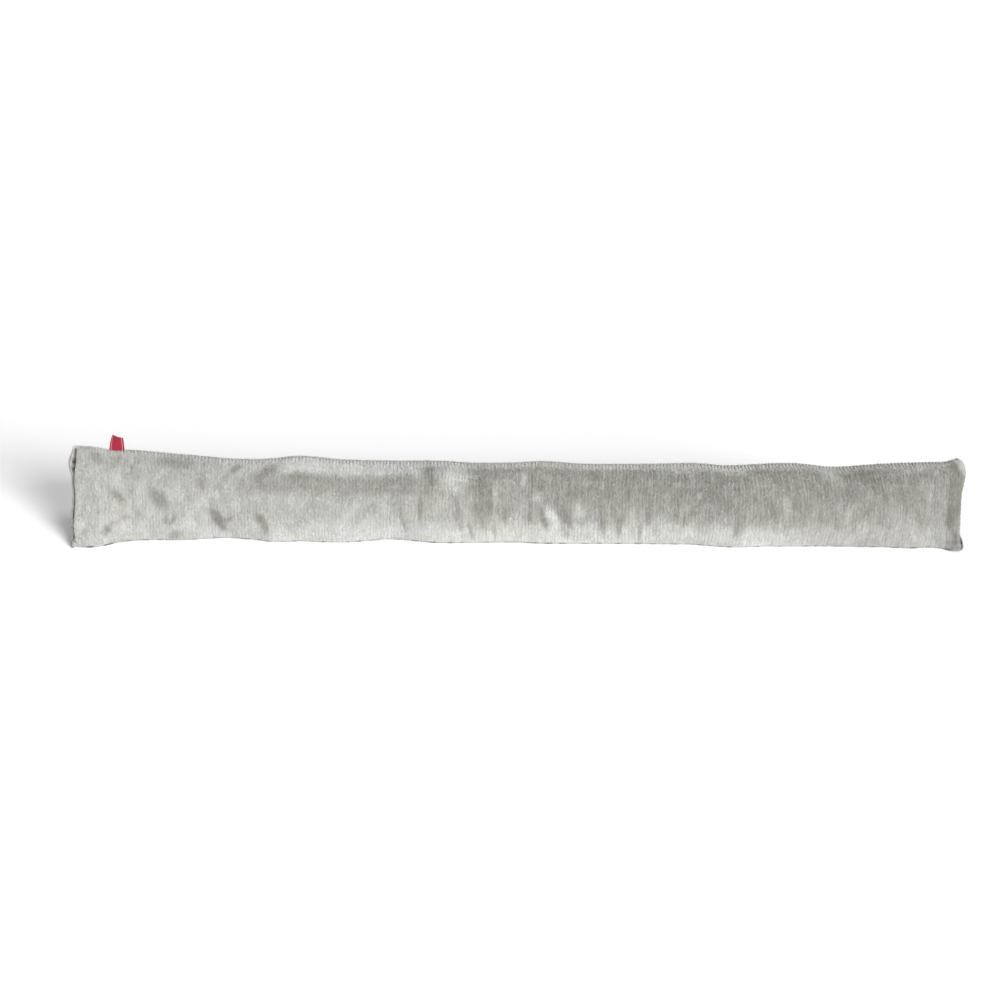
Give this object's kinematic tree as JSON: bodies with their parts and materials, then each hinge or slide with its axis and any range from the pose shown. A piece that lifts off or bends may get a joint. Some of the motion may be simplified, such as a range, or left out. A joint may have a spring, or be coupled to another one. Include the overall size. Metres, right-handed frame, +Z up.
{
  "type": "draught excluder",
  "caption": "Long filled plush tube, flat-sewn at both ends, that stands along the foot of a door to stop draughts.",
  "frame": {"origin": "middle of the footprint, on the surface that it rests on", "axes": "+X along the length, -Y towards the front face, +Z up"},
  "size_m": [0.8998, 0.0712, 0.1063],
  "materials": {
    "ribbed_plush": "short ribbed plush pile, warm light grey, soft sheen that shifts with the lie of the pile",
    "label_weave": "fine satin-woven ribbon, red, slight sheen"
  },
  "bodies": {
    "root": {"filled_tube": "ribbed_plush", "seam_label": "label_weave"}
  },
  "joints": []
}
